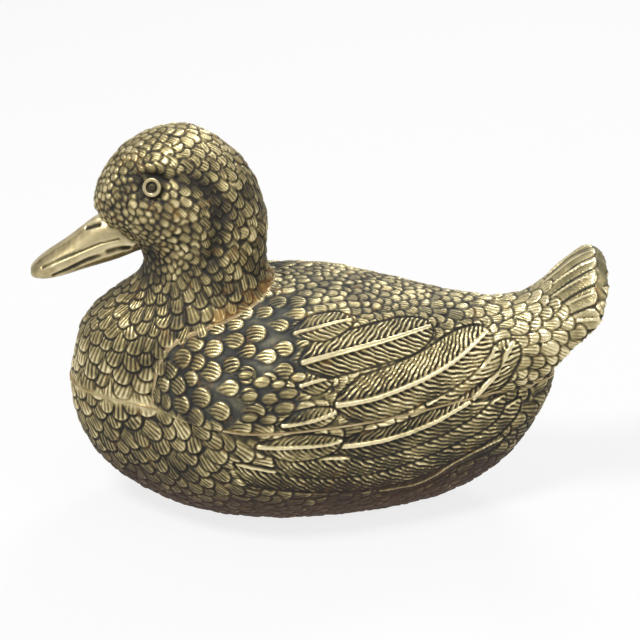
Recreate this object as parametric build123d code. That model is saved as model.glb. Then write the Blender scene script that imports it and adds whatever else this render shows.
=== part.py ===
from build123d import *
import math
import os

# A hollow cast brass duck at rest on its flat belly.
# The bill points to -X, the tail to +X, the left side faces -Y, and +Z is up.
# The origin is the middle of the flat patch under the belly.
# Three thin castings meet along a level seam and a curved neck seam: a belly, a back
# with the tail, and a breast with the neck and head. A solid bill and two ring eyes are
# set into sockets in the head. One brazed bead fills the groove along the level seam,
# and another lies in the crease between the neck and the back.

# Walls, fits and cuts
wall = 3.0
seat_clearance = 0.2
lap_depth = 5.0
vent_radius = 2.0
vent_reach = 30.0
reach_beyond = 600.0

# Body outline along the level seam
breast_reach = 120.5
rump_reach = 133.0
body_half_width = 69.0
seam_height = 72.0
flat_cut_depth = 4.0
keel_depth = seam_height + flat_cut_depth

# Breast, neck and head above the seam
head_height = 136.5
breast_half_width = 43.0

# Back above the seam
crown_height = 54.0

# Bead of braze in the crease between the neck and the back
neck_bead_rise = 0.8

# Tail fan, a cupped wedge that rises from the rump
tail_reach = 155.5
tail_rise = 66.5
tail_half_width = 35.0
tail_root_depth = 24.0
tail_edge_thickness = 3.0
tail_tilt_angle = 46.0
tail_fan_length = 32.0
tail_root_reach = 70.0
tail_root_half_width = 38.0
tail_feather_count = 11
tail_feather_spread_angle = 15.5
tail_tip_radius = 5.5

# Spigot inside the level seam, and the brazed beads
spigot_height = 5.0
spigot_depth = 7.0
spigot_thickness = 2.2
bead_height = 1.0
bead_depth = 1.2

# Bill, measured along its own axis from the face of the head
bill_length = 47.0
bill_half_width = 11.5
bill_half_height = 16.6
bill_face_reach = 93.5
bill_face_height = 73.8
bill_drop_angle = 20.0
mouth_gap = 0.9
mouth_depth = 1.4
mouth_drop = 0.3
nostril_length = 6.0
nostril_width = 1.6
nostril_depth = 1.4
nostril_place = 13.0
nostril_spread = 7.0
nostril_height = 11.0
nostril_slant = 0.35

# Eyes, ring studs on a stem
eye_radius = 4.7
eye_rim_bevel = 0.6
eye_rim_width = 1.9
eye_rim_height = 2.0
eye_floor_height = 0.8
pupil_radius = 1.3
pupil_top_radius = 0.7
pupil_height = 1.5
eye_stem_radius = 2.2
eye_stem_length = 6.0
eye_reach = 71.5
eye_height = 113.0
eye_sink = 1.6
eye_forward_angle = 12.0
eye_upward_angle = 18.0

# Half width of the body: share of its length from the breast, then shares of the half
# width along the level seam and lower down on the belly
body_width_shares = [
    (0.000, 0.000, 0.000),
    (0.022, 0.245, 0.260),
    (0.063, 0.387, 0.420),
    (0.124, 0.505, 0.575),
    (0.185, 0.600, 0.720),
    (0.236, 0.790, 0.840),
    (0.287, 0.930, 0.925),
    (0.381, 1.000, 1.000),
    (0.470, 0.975, 0.980),
    (0.572, 0.885, 0.895),
    (0.674, 0.735, 0.760),
    (0.776, 0.535, 0.585),
    (0.878, 0.340, 0.390),
    (0.949, 0.200, 0.240),
    (0.984, 0.120, 0.140),
    (1.000, 0.000, 0.000),
]

# Keel line under the seam: share of the same length, share of the keel depth
keel_shares = [
    (0.000, 0.000),
    (0.008, 0.240),
    (0.022, 0.400),
    (0.063, 0.615),
    (0.104, 0.735),
    (0.145, 0.820),
    (0.185, 0.880),
    (0.267, 0.950),
    (0.389, 0.993),
    (0.470, 1.000),
    (0.552, 0.995),
    (0.633, 0.975),
    (0.715, 0.945),
    (0.796, 0.870),
    (0.878, 0.710),
    (0.919, 0.575),
    (0.959, 0.380),
    (0.984, 0.200),
    (1.000, 0.000),
]

# Crown line above the seam: share of the same length, share of the crown height, and
# a share that narrows the shoulders to pass inside the breast
crown_shares = [
    (0.080, 0.600, 0.850),
    (0.185, 0.850, 0.990),
    (0.287, 0.930, 1.000),
    (0.390, 0.985, 1.000),
    (0.490, 1.000, 1.000),
    (0.600, 0.950, 1.000),
    (0.700, 0.870, 1.000),
    (0.800, 0.800, 1.000),
    (0.890, 0.750, 1.000),
    (0.949, 0.620, 1.000),
    (0.985, 0.400, 1.000),
    (0.997, 0.220, 1.000),
]

# Level slices of the belly, as shares of the way from the seam to the flat
belly_level_shares = [0.0, 0.22, 0.45, 0.66, 0.83, 0.94, 1.0]
slice_point_count = 10
section_point_count = 12
bill_point_count = 12
keel_search_count = 40
body_section_power = 2.2

neck_slice_count = 13

# Neck and head slices: height, front reach, middle, back reach, half width
neck_slice_shares = [
    (-0.100, 0.965, 0.430, -0.130, 0.980),
    (0.000, 0.988, 0.430, -0.130, 0.990),
    (0.170, 0.955, 0.430, -0.110, 1.000),
    (0.330, 0.805, 0.405, 0.043, 0.873),
    (0.415, 0.690, 0.395, 0.130, 0.760),
    (0.510, 0.640, 0.390, 0.140, 0.660),
    (0.610, 0.770, 0.440, 0.135, 0.680),
    (0.690, 0.855, 0.490, 0.145, 0.700),
    (0.770, 0.845, 0.505, 0.175, 0.690),
    (0.850, 0.795, 0.505, 0.225, 0.630),
    (0.915, 0.730, 0.500, 0.300, 0.520),
    (0.960, 0.650, 0.495, 0.375, 0.370),
    (0.993, 0.545, 0.490, 0.445, 0.130),
]

# Tail sections: reach, rise, tilt angle, half width, depth above and below, drop of the edges
tail_section_shares = [
    (0.560, 0.160, 3.0, 0.620, 0.950, 0.800, 0.300),
    (0.755, 0.360, 25.0, 0.680, 0.850, 0.700, 0.420),
    (0.857, 0.654, 42.0, 0.840, 0.460, 0.280, 0.390),
    (0.929, 0.827, 46.0, 0.960, 0.420, 0.240, 0.330),
    (1.010, 1.030, 48.0, 1.000, 0.080, 0.000, 0.270),
]

# Bill sections: place along the bill, half width, height above and below the mouth line
bill_section_shares = [
    (-0.25, 0.80, 0.92, 0.48),
    (0.00, 0.90, 1.00, 0.50),
    (0.25, 0.92, 0.82, 0.48),
    (0.50, 0.96, 0.58, 0.45),
    (0.75, 1.00, 0.39, 0.40),
    (0.92, 0.84, 0.20, 0.26),
    (1.00, 0.42, 0.06, 0.10),
]


def slope_at(table, index, column):
    """A slope that never overshoots the table's points."""
    steps = []
    for low in (index - 1, index):
        if 0 <= low < len(table) - 1:
            start, end = table[low], table[low + 1]
            steps.append((end[column] - start[column]) / (end[0] - start[0]))
    if len(steps) == 1:
        return steps[0]
    before, after = steps
    if before * after <= 0:
        return 0.0
    return 2 * before * after / (before + after)


def read(table, place, column=1):
    """The value in a column at a place, on a smooth curve through the table's points."""
    place = min(max(place, table[0][0]), table[-1][0])
    index = 0
    while index < len(table) - 2 and table[index + 1][0] < place:
        index += 1
    start, end = table[index], table[index + 1]
    span = end[0] - start[0]
    t = (place - start[0]) / span
    rise = span * slope_at(table, index, column)
    settle = span * slope_at(table, index + 1, column)
    blend = t * t * (3 - 2 * t)
    lift = t * (1 - t)
    change = end[column] - start[column]
    return start[column] + change * blend + lift * ((1 - t) * rise - t * settle)


def keel_place(depth_share, low, high):
    """The place between low and high where the keel has this share of its depth."""
    rising = read(keel_shares, low) < read(keel_shares, high)
    for _ in range(keel_search_count):
        middle = (low + high) / 2
        if (read(keel_shares, middle) < depth_share) == rising:
            low = middle
        else:
            high = middle
    return (low + high) / 2


def smooth_face(points):
    """A flat face inside a closed curve; even parameters keep a loft of such faces light."""
    parameters = [number / len(points) for number in range(len(points) + 1)]
    return Face(Wire([Edge.make_spline(points, periodic=True, parameters=parameters)]))


def level_face(outline, z):
    """A closed level face from points that run from front to back along one side."""
    path = [(x, -y, z) for x, y in outline]
    path += [(x, y, z) for x, y in reversed(outline[1:-1])]
    return smooth_face(path)


def belly_outline(front, back, half_width, depth_share):
    """One side of the belly at a depth, given as a share of the keel's."""
    length = front + back
    deepest = max(keel_shares, key=lambda row: row[1])[0]
    start = keel_place(depth_share, 0, deepest)
    end = keel_place(depth_share, deepest, 1)
    points = [(start * length - front, 0)]
    for step in range(1, slice_point_count):
        along = (1 - math.cos(math.pi * step / slice_point_count)) / 2
        place = start + (end - start) * along
        drop = min(depth_share / read(keel_shares, place), 1)
        fullness = (1 - drop**body_section_power) ** (1 / body_section_power)
        lowness = min(2 * depth_share, 1)
        width = read(body_width_shares, place)
        width += (read(body_width_shares, place, 2) - width) * lowness
        points.append((place * length - front, half_width * width * fullness))
    points.append((end * length - front, 0))
    return points


def belly_form(inset):
    """The belly below the seam as a filled solid, drawn in by inset all round."""
    slices = []
    for share in belly_level_shares:
        depth = share * (seam_height - inset)
        outline = belly_outline(
            breast_reach - inset,
            rump_reach - inset,
            body_half_width - inset,
            depth / (keel_depth - inset),
        )
        slices.append(level_face(outline, seam_height - depth))
    return loft(slices)


def signed_power(value, power):
    return math.copysign(abs(value) ** power, value)


def back_section(x, half_width, height):
    """An upright section of the body, alike above and below the seam."""
    power = 2 / body_section_power
    points = []
    for step in range(section_point_count):
        angle = 2 * math.pi * step / section_point_count
        across = signed_power(math.cos(angle), power)
        up = signed_power(math.sin(angle), power)
        points.append((x, half_width * across, seam_height + height * up))
    return smooth_face(points)


def back_form(inset):
    """The back above the seam as a filled solid, drawn in by inset all round."""
    length = breast_reach + rump_reach - 2 * inset
    sections = []
    for place, height_share, width_share in crown_shares:
        sections.append(
            back_section(
                place * length - breast_reach + inset,
                (body_half_width - inset) * read(body_width_shares, place) * width_share,
                (crown_height - inset) * height_share,
            )
        )
    return loft(sections)


def neck_form(inset):
    """Breast, neck and head above the seam as a filled solid, drawn in by inset."""
    slices = []
    for step in range(neck_slice_count):
        low, high = neck_slice_shares[0][0], neck_slice_shares[-1][0]
        height = low + (high - low) * math.sin(math.pi / 2 * step / (neck_slice_count - 1))
        front, middle, back, width = (read(neck_slice_shares, height, c) for c in (1, 2, 3, 4))
        half_width = width * breast_half_width - inset
        centre = -middle * breast_reach
        fore = front * breast_reach - inset + centre
        aft = -centre - back * breast_reach - inset
        points = []
        for turn in range(slice_point_count + 1):
            angle = math.pi * turn / slice_point_count
            reach = fore if 2 * turn < slice_point_count else aft
            points.append((centre - reach * math.cos(angle), half_width * math.sin(angle)))
        slices.append(level_face(points, seam_height + height * (head_height - inset)))
    return loft(slices)


def tail_section(reach, rise, tilt, half_width, above, below, drop):
    """A cupped section of the tail, square to the tail's own line."""
    at = Plane(
        origin=(tail_reach * reach, 0, seam_height + tail_rise * rise),
        x_dir=(0, 1, 0),
        z_dir=(math.cos(math.radians(tilt)), 0, math.sin(math.radians(tilt))),
    )
    width = tail_half_width * half_width
    edge_top = -tail_half_width * drop
    edge_low = edge_top - tail_edge_thickness
    top = ThreePointArc((-width, edge_top), (0, tail_root_depth * above), (width, edge_top))
    low = ThreePointArc((width, edge_low), (0, -tail_root_depth * below), (-width, edge_low))
    sides = [Line((width, edge_top), (width, edge_low)), Line((-width, edge_low), (-width, edge_top))]
    return at * Face(Wire([top, sides[0], low, sides[1]]))


def tail_fan():
    """The plan outline of the fan, with one rounded tip for each tail feather."""
    outline = Pos(-tail_root_reach / 2, 0) * Rectangle(tail_root_reach, 2 * tail_root_half_width)
    outline += Ellipse(tail_fan_length - tail_tip_radius, tail_half_width - tail_tip_radius)
    for number in range(tail_feather_count):
        turn = math.radians(number - (tail_feather_count - 1) / 2) * tail_feather_spread_angle
        along = (tail_fan_length - tail_tip_radius) * math.cos(turn)
        across = (tail_half_width - tail_tip_radius) * math.sin(turn)
        outline += Pos(along, across) * Circle(tail_tip_radius)
    return outline


def tail_form():
    """The tail: a lofted wedge, cut to the fan of feather tips."""
    wedge = loft([tail_section(*row) for row in tail_section_shares])
    tilt = math.radians(tail_tilt_angle)
    root = Plane(
        origin=(
            tail_reach - tail_fan_length * math.cos(tilt),
            0,
            seam_height + tail_rise - tail_fan_length * math.sin(tilt),
        ),
        x_dir=(math.cos(tilt), 0, math.sin(tilt)),
        z_dir=(-math.sin(tilt), 0, math.cos(tilt)),
    )
    return wedge & extrude(root * tail_fan(), amount=2 * tail_root_depth, both=True)


def bill_form(inset):
    """The bill on its own axis, +X towards the tip, drawn in by inset all round."""
    sections = []
    for place, half_width, above, below in bill_section_shares:
        width = bill_half_width * half_width - inset
        top = bill_half_height * above - inset
        low = bill_half_height * below - inset
        points = []
        for step in range(bill_point_count):
            angle = 2 * math.pi * step / bill_point_count
            height = top if math.sin(angle) > 0 else low
            points.append((0, width * math.cos(angle), height * math.sin(angle)))
        along = place * (bill_length - inset)
        sections.append(Pos(along, 0, 0) * smooth_face(points))
    return loft(sections)


def bill_plane():
    """The bill's own axes: +X to the tip, +Z up, the origin in the face of the head."""
    drop = math.radians(bill_drop_angle)
    return Plane(
        origin=(-bill_face_reach, 0, seam_height + bill_face_height),
        x_dir=(-math.cos(drop), 0, -math.sin(drop)),
        z_dir=(-math.sin(drop), 0, math.cos(drop)),
    )


def bill_casting():
    """The bill with its mouth line and a nostril slot on each side."""
    whole = bill_form(0)
    reach = 4 * bill_length
    slit = Pos(0, 0, -mouth_drop) * Box(reach, 4 * bill_half_width, mouth_gap)
    made = whole - (slit - bill_form(mouth_depth))
    for side in (-1, 1):
        slot = SlotOverall(nostril_length, nostril_width)
        facing = Plane(
            origin=(nostril_place, side * nostril_spread, nostril_height),
            x_dir=(1, 0, -nostril_slant),
            z_dir=(0, side, 1),
        )
        made -= extrude(facing * slot, amount=nostril_depth, both=True)
    return bill_plane() * made


def head_half_width(reach, height):
    """Half the width of the head at a reach from the origin and a height above the seam."""
    share = height / head_height
    front, middle, _, width = (read(neck_slice_shares, share, c) for c in (1, 2, 3, 4))
    ahead = (reach / breast_reach - middle) / (front - middle)
    return breast_half_width * width * math.sqrt(1 - ahead**2)


def eye_plane(side):
    """The place and outward direction of one eye, sunk into the surface of the head."""
    forward = math.radians(eye_forward_angle)
    upward = math.radians(eye_upward_angle)
    outward = (
        -math.sin(forward) * math.cos(upward),
        side * math.cos(forward) * math.cos(upward),
        math.sin(upward),
    )
    spread = head_half_width(eye_reach, eye_height) - eye_sink
    place = (-eye_reach, side * spread, seam_height + eye_height)
    return Plane(origin=place, x_dir=(-math.cos(forward), -side * math.sin(forward), 0), z_dir=outward)


def eye_stud():
    """A bevelled ring round a blunt pupil, on a stem, its back face on z = 0."""
    inner = eye_radius - eye_rim_width
    outline = Polyline(
        (0, -eye_stem_length),
        (eye_stem_radius, -eye_stem_length),
        (eye_stem_radius, 0),
        (eye_radius, 0),
        (eye_radius, eye_rim_height - eye_rim_bevel),
        (eye_radius - eye_rim_bevel, eye_rim_height),
        (inner + eye_rim_bevel, eye_rim_height),
        (inner, eye_floor_height),
        (pupil_radius, eye_floor_height),
        (pupil_top_radius, pupil_height),
        (0, pupil_height),
        close=True,
    )
    return revolve(Plane.XZ * Face(Wire(outline.edges())), Axis.Z)


def eye_socket():
    """The space that an eye stud takes in the head, with its clearance."""
    depth = eye_stem_length + seat_clearance
    seat = Pos(0, 0, eye_radius / 2) * Cylinder(eye_radius + seat_clearance, eye_radius)
    return seat + Pos(0, 0, -depth / 2) * Cylinder(eye_stem_radius + seat_clearance, depth)


def seam_band(outer_inset, inner_inset, low, high):
    """A band that follows the level seam, between two insets and two heights."""
    fills = []
    for inset in (outer_inset, inner_inset):
        outline = belly_outline(breast_reach - inset, rump_reach - inset, body_half_width - inset, 0)
        fills.append(extrude(level_face(outline, low), amount=high - low))
    return fills[0] - fills[1]


def above_seam(form):
    """What lies above the level seam of a form."""
    half = Box(reach_beyond, reach_beyond, reach_beyond)
    return form & (Pos(0, 0, seam_height + reach_beyond / 2) * half)


def belly_casting():
    """The belly, with a spigot round its rim that locates the two upper castings."""
    inside = wall + spigot_thickness
    shell = belly_form(0) - belly_form(wall)
    shell += seam_band(wall / 2, inside, seam_height - spigot_depth, seam_height)
    shell += seam_band(
        wall + seat_clearance, inside, seam_height, seam_height + spigot_height
    )
    vent = Pos(vent_reach, 0, wall / 2) * Cylinder(vent_radius, 2 * wall)
    return shell - vent


def head_casting():
    """Breast, neck and head, with a collar that laps inside the back's wall."""
    shell = neck_outer - neck_form(wall) - back_form(wall + lap_depth)
    shell -= bill_plane() * bill_form(-seat_clearance)
    for side in (-1, 1):
        shell -= eye_plane(side) * eye_socket()
    return shell


def back_casting():
    """The back with its tail, open where the neck's collar comes through."""
    return back_outer + tail - back_form(wall) - neck_outer


def crease_bead():
    """A bead of braze in the crease where the back meets the neck."""
    crease = above_seam(neck_form(-neck_bead_rise) & back_form(-neck_bead_rise))
    return crease - neck_outer - back_outer - tail


neck_outer = above_seam(neck_form(0))
back_outer = above_seam(back_form(0))
tail = above_seam(tail_form())

bead_low = seam_height - bead_height / 2
bead_high = seam_height + bead_height / 2
groove = seam_band(-bead_depth, bead_depth, bead_low, bead_high)
spigot_room = seam_band(
    wall - seat_clearance,
    wall + spigot_thickness + seat_clearance,
    seam_height,
    seam_height + spigot_height + seat_clearance,
)

castings = {
    "belly_shell": belly_casting() - groove,
    "back_shell": back_casting() - groove - spigot_room,
    "head_and_breast_shell": head_casting() - groove - spigot_room,
    "bill": bill_casting(),
    "left_eye": eye_plane(-1) * eye_stud(),
    "right_eye": eye_plane(1) * eye_stud(),
    "body_seam_braze": seam_band(0, bead_depth, bead_low, bead_high),
    "neck_seam_braze": crease_bead() - groove,
}

os.makedirs("parts", exist_ok=True)
for name, casting in castings.items():
    export_step(casting, f"parts/{name}.step")
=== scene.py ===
# %% [markdown]
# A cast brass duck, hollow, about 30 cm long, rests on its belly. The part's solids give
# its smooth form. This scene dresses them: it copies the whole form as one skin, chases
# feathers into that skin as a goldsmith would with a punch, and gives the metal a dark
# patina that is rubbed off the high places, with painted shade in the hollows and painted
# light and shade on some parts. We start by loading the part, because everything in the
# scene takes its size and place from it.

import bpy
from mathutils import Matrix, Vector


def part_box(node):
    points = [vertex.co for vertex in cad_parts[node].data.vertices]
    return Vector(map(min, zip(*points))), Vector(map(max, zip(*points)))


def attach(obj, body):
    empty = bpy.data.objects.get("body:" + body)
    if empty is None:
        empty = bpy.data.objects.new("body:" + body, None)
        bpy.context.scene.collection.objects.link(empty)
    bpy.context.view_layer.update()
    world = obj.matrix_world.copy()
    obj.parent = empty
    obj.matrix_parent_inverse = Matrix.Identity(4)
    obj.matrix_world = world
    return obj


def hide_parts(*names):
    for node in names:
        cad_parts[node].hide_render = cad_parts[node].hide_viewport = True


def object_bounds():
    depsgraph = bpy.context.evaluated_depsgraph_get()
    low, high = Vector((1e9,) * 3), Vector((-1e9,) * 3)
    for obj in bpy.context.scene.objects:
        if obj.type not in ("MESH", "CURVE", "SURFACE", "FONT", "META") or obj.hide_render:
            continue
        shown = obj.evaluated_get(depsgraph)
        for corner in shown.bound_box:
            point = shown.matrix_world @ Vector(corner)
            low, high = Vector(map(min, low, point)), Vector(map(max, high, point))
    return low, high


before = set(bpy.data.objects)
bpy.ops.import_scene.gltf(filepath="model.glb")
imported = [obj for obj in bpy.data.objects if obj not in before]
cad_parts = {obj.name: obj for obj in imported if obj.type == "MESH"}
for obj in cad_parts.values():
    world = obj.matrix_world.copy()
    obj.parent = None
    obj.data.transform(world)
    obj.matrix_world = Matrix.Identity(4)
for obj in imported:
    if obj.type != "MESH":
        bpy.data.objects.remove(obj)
cad_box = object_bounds()
print("nodes:", sorted(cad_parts))

# %% Tools
import math

import bmesh
import bpy
import numpy as np
from mathutils import Vector, kdtree
from mathutils.bvhtree import BVHTree

MM = 0.001
rng = np.random.default_rng(7)
print("cad box in mm:", [round(v / MM) for v in (*cad_box[0], *cad_box[1])])

# %% [markdown]
# The camera comes first, so that each later step can be looked at from the photograph's
# side. It stands level with the duck's length, looks down by 25 degrees, and is far away
# with a long lens, because the photograph shows hardly any perspective.

# %% Camera
def in_scene(name, data):
    """A new object in the scene with a mesh, lamp or camera."""
    made = bpy.data.objects.new(name, data)
    bpy.context.scene.collection.objects.link(made)
    return made


camera_aim = Vector((10.3, 0.0, 101.7)) * MM
camera_distance = 1050 * MM
camera_elevation = math.radians(25)
camera_data = bpy.data.cameras.new("camera")
camera = in_scene("camera", camera_data)
camera_data.sensor_width = 36
camera_data.lens = 114.2
camera_data.clip_end = 20
camera_back = Vector((0, -math.cos(camera_elevation), math.sin(camera_elevation)))
camera.location = camera_aim + camera_back * camera_distance
camera.rotation_mode = "QUATERNION"
camera.rotation_quaternion = (-camera_back).to_track_quat("-Z", "Y")
bpy.context.scene.camera = camera
bpy.context.scene.view_settings.view_transform = "Standard"
print("camera at", [round(v, 3) for v in camera.location])

# %% [markdown]
# The real castings meet in seams that are brazed and filed, so the outside is one
# continuous skin. A voxel remesh melts copies of all the solids into one closed mesh of
# even squares, and fills the hollow inside, because a plug closes the vent. Even squares
# matter here, because the feathers are pressed into them later, and the vent with them.

# %% One skin round all the castings
voxel_size = 1.9 * MM
skin_levels = 2
vent_plug_radius, vent_plug_depth = 3.5 * MM, 3 * MM
vent_reach = 30 * MM
same_place = 0.001 * MM


def deselect_all():
    bpy.ops.object.select_all(action="DESELECT")


def copy_of(node):
    """A merged copy of a CAD node's mesh as a new object."""
    copy = in_scene(node + "_copy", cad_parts[node].data.copy())
    deselect_all()
    copy.select_set(True)
    bpy.context.view_layer.objects.active = copy
    bpy.ops.object.mode_set(mode="EDIT")
    bpy.ops.mesh.select_all(action="SELECT")
    bpy.ops.mesh.remove_doubles(threshold=same_place)
    bpy.ops.object.mode_set(mode="OBJECT")
    return copy


def joined(objects, name):
    deselect_all()
    for part in objects:
        part.select_set(True)
    bpy.context.view_layer.objects.active = objects[0]
    bpy.ops.object.join()
    objects[0].name = name
    return objects[0]


deselect_all()
bpy.ops.mesh.primitive_cylinder_add(radius=vent_plug_radius, depth=vent_plug_depth,
                                    location=(vent_reach, 0, vent_plug_depth / 2))
vent_plug = bpy.context.active_object
bpy.ops.object.transform_apply(location=True, rotation=True, scale=True)
skin = joined([copy_of(name) for name in sorted(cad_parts)] + [vent_plug], "skin")
form_tree = BVHTree.FromObject(skin, bpy.context.evaluated_depsgraph_get())
remesh = skin.modifiers.new("melt", "REMESH")
remesh.mode = "VOXEL"
remesh.voxel_size = voxel_size
remesh.adaptivity = 0
bpy.ops.object.modifier_apply(modifier=remesh.name)
print("melted skin:", len(skin.data.polygons), "faces")

# %% [markdown]
# The remesh leaves small steps. So each vertex is moved onto the nearest place of the
# solids and softened a little, twice. It also notes which casting it lies on, because the
# feathers change there. A subdivision then gives squares of about half a millimetre.

# %% Settle the skin on the form
settle_reach = 3 * MM


def settle(obj, tree, strength):
    """Moves each vertex towards the nearest point of the form."""
    places = np.empty(len(obj.data.vertices) * 3)
    obj.data.vertices.foreach_get("co", places)
    places = places.reshape(-1, 3)
    for index, place in enumerate(places):
        nearest = tree.find_nearest(Vector(place), settle_reach)[0]
        if nearest is not None:
            places[index] += (np.array(nearest) - place) * strength
    obj.data.vertices.foreach_set("co", places.ravel())
    obj.data.update()


for _ in range(2):
    settle(skin, form_tree, 1.0)
    soften = skin.modifiers.new("soften", "SMOOTH")
    soften.factor = 0.5
    soften.iterations = 2
    bpy.ops.object.modifier_apply(modifier=soften.name)
settle(skin, form_tree, 0.8)
print("settled places:", len(skin.data.vertices))

# %% Note which casting each place lies on
braze_reach = 9 * MM


def gaps_to(node):
    """The distance from each vertex of the skin to a CAD node."""
    tree = BVHTree.FromObject(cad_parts[node], bpy.context.evaluated_depsgraph_get())
    return np.array([tree.find_nearest(vert.co)[3] for vert in skin.data.vertices])


to_breast, to_back = gaps_to("head_and_breast_shell"), gaps_to("back_shell")
to_bill, to_braze = gaps_to("bill"), gaps_to("neck_seam_braze")
casting_shares = {
    "on_breast": to_breast < to_back,
    "on_bill": (to_bill < to_breast) & (to_bill < to_back),
    "by_braze": np.maximum(0, 1 - to_braze / braze_reach),
}
for name, share in casting_shares.items():
    layer = skin.data.attributes.new(name, "FLOAT", "POINT")
    layer.data.foreach_set("value", share.astype(float))
print("places on the bill:", casting_shares["on_bill"].sum())

# %% Divide the skin
divide = skin.modifiers.new("divide", "SUBSURF")
divide.levels = skin_levels
divide.render_levels = skin_levels
bpy.ops.object.modifier_apply(modifier=divide.name)
print("fine skin:", len(skin.data.polygons), "faces")


# %% [markdown]
# Now the chasing. Every feather is a small raised pad with its own outline, and they
# overlap like roof tiles. Modelling some thousands of them by hand is out of reach, and
# separate pads would never melt into the metal as these do. So each feather is pressed
# into the fine skin: we find the skin's vertices near it, read them in the feather's own
# directions, and write a height for each. Feathers nearer the tail are pressed first, so
# the ones in front overlap them.

# %% The skin as arrays
def mesh_array(data, name, width):
    values = np.empty(len(data) * width)
    data.foreach_get(name, values)
    return values.reshape(-1, width)


mesh = skin.data
spots = mesh_array(mesh.vertices, "co", 3) / MM
outward = mesh_array(mesh.vertices, "normal", 3)
edges = mesh_array(mesh.edges, "vertices", 2).astype(int)
breast_share, bill_share, braze_share = (
    mesh_array(mesh.attributes[name].data, "value", 1)[:, 0] for name in casting_shares)
spot_tree = kdtree.KDTree(len(spots))
for index, spot in enumerate(spots):
    spot_tree.insert(spot, index)
spot_tree.balance()
skin_tree = BVHTree.FromObject(skin, bpy.context.evaluated_depsgraph_get())
ground = -0.45
height = np.full(len(spots), ground)
across = np.zeros(len(spots))
lines = np.zeros(len(spots))
shade = np.zeros(len(spots))
print("spots on the skin:", len(spots))


# %% Small tools for pressing
links = np.bincount(edges.ravel(), minlength=len(spots))
line_fade = (0.4, 1.3)
print("neighbours of a spot:", links.min(), "to", links.max())


def blurred(values, rounds):
    """The values averaged with their neighbours again and again."""
    for _ in range(rounds):
        total = np.bincount(edges[:, 0], values[edges[:, 1]], len(spots))
        total += np.bincount(edges[:, 1], values[edges[:, 0]], len(spots))
        values = total / links
    return values


def smooth(value, low, high):
    """0 below low, 1 above high, and an even curve between."""
    t = np.clip((value - low) / (high - low), 0, 1)
    return t * t * (3 - 2 * t)


def unit(vectors):
    return vectors / np.maximum(np.linalg.norm(vectors, axis=-1, keepdims=True), 1e-9)


def near(place, radius):
    """The numbers of the spots within a radius of a place."""
    return np.array([found[1] for found in spot_tree.find_range(place, radius)], int)


def press(chosen, inside, pad, cross, line_share, tint, depth, width):
    """Writes a pad into the skin where inside is positive, and a trench round it."""
    kept = inside > -width
    depth = np.broadcast_to(depth, inside.shape)[kept]
    chosen, inside, pad, cross = chosen[kept], inside[kept], pad[kept], cross[kept]
    covered = inside > 0
    lip = smooth(inside, -0.1, width)
    raised = pad * lip - depth * (1 - lip)
    sunk_share = 1 - smooth(-inside, 0, width)
    sunk = np.minimum(height[chosen], height[chosen] * (1 - sunk_share) - depth * sunk_share)
    height[chosen] = np.where(covered, raised, sunk)
    across[chosen] = np.where(covered, cross, across[chosen])
    lines[chosen] = np.where(covered, line_share * smooth(inside, *line_fade), lines[chosen])
    shade[chosen] = np.where(covered, tint, shade[chosen])


# %% [markdown]
# First the broad forms that lie under the feathers: a hollow round each eye, a brow
# groove that runs back from it and down behind the cheek, and a hollow where the face
# meets the bill. Each is a row of places on the left of the head with a radius, and both
# sides get the same.

# %% Broad forms of the head
seam_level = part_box("body_seam_braze")[0].z / MM + 0.5
eye_low, eye_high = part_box("left_eye")
eye_middle = np.array((eye_low + eye_high) / 2) / MM
brow_groove = [(-65, -24, 190), (-58, -26, 189), (-50, -25, 186), (-43, -24, 182),
               (-39, -25, 173), (-39, -26, 164), (-40, -27, 156), (-42, -28, 148)]
face_hollow = [(-80, -21, 188), (-85, -21, 180), (-88, -21, 171), (-84, -20, 159),
               (-78, -18, 150), (-70, -20, 144)]
cheek_swell = [(-58, -29, 174), (-62, -29, 167)]
crown_swell = [(-58, -22, 197), (-48, -20, 195)]
brow_swell = [(-80, -19, 194), (-71, -22, 197), (-61, -25, 195)]
folded_spots = spots * [1, 0, 1] - np.abs(spots * [0, 1, 0])
print("left eye at", eye_middle.round(1))


def soft_path(points, radius):
    """1 on a row of places and 0 beyond the radius, on both sides of the duck."""
    nearest = np.full(len(spots), 1e9)
    for start, end in zip(np.array(points[:-1], float), np.array(points[1:], float)):
        run = end - start
        share = np.clip((folded_spots - start) @ run / (run @ run), 0, 1)
        gap = np.linalg.norm(folded_spots - start - share[:, None] * run, axis=1)
        nearest = np.minimum(nearest, gap)
    return 1 - smooth(nearest, 0, radius)


# %% Write the broad forms
eye_gap = np.linalg.norm(folded_spots - eye_middle, axis=1)
eye_hollow = 1 - smooth(eye_gap, 5.0, 10.5)
vent_gap = np.linalg.norm(spots[:, :2] - [vent_reach / MM, 0], axis=1)
vent_pit = (1 - smooth(vent_gap, 1.6, 2.4)) * (spots[:, 2] <= 4)
form = -2.0 * soft_path(brow_groove, 7) - 1.3 * soft_path(face_hollow, 5.5)
form += 0.9 * soft_path(cheek_swell, 12) + 0.5 * soft_path(crown_swell, 9)
form += 0.8 * soft_path(brow_swell, 5) - 2.6 * eye_hollow - 2.4 * vent_pit
print("broad forms in mm:", round(form.min(), 1), "to", round(form.max(), 1))

# %% [markdown]
# The bill is smooth metal, filed after the casting. A rounded ridge runs down its top, a
# slot on each side is the nostril, and two lines on each side part the upper half, the
# lip and the lower half. They are rows of places too, so the bill stays one skin with the
# face, and the feathers end against it in a sharp dark step.

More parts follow.
